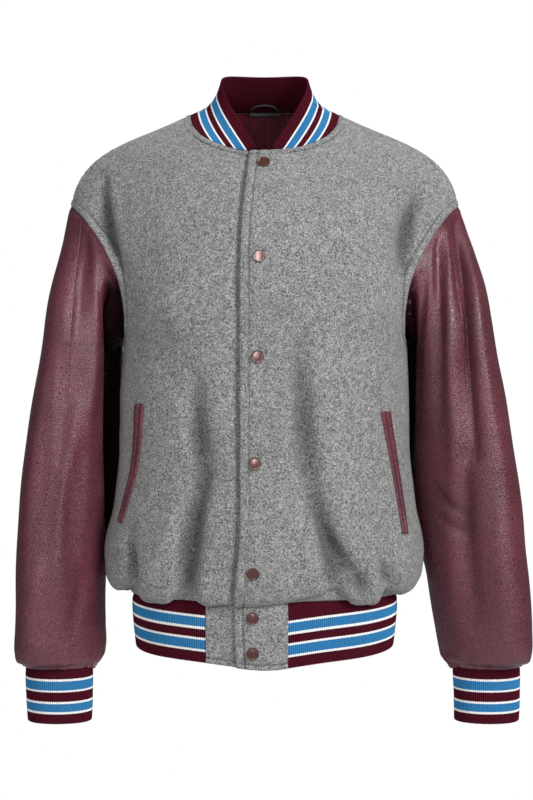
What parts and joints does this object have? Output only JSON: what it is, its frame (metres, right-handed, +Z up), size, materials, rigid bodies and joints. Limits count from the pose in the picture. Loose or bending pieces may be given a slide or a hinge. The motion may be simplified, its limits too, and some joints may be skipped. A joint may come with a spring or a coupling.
{
  "type": "varsity jacket",
  "caption": "Varsity jacket, filled out with no wearer: wool body, leather sleeves, striped rib knit collar, cuffs and hem, snap front and slanting welt pockets.",
  "frame": {"origin": "middle of the neck opening at the height of the two shoulder seams' neck ends, where the wearer's shoulders carry the jacket", "axes": "+Z up along the standing wearer, -Y the way the wearer faces, +X to the wearer's left"},
  "size_m": [0.638, 0.2985, 0.8155],
  "materials": {
    "wool": "heather grey melton wool, felted nap",
    "leather": "maroon grained leather, soft sheen",
    "rib_knit": "maroon rib knit with blue and white stripes",
    "satin": "dark maroon satin lining",
    "tape": "charcoal tape and cord",
    "snap_enamel": "maroon enamelled snap caps"
  },
  "bodies": {
    "root": {"front_left": "wool", "front_right": "wool", "back": "wool", "hem_tab_left": "wool", "hem_tab_right": "wool", "sleeve_left_upper": "leather", "sleeve_left_under": "leather", "sleeve_right_upper": "leather", "sleeve_right_under": "leather", "pocket_left_welt_front": "leather", "pocket_left_welt_side": "leather", "pocket_right_welt_front": "leather", "pocket_right_welt_side": "leather", "collar": "rib_knit", "cuff_left": "rib_knit", "cuff_right": "rib_knit", "hem_rib": "rib_knit", "back_lining": "satin", "neck_tape": "tape", "hanging_loop": "tape", "snap_1": "snap_enamel", "snap_2": "snap_enamel", "snap_3": "snap_enamel", "snap_4": "snap_enamel", "snap_5": "snap_enamel", "snap_6": "snap_enamel", "snap_7": "snap_enamel"}
  },
  "joints": []
}
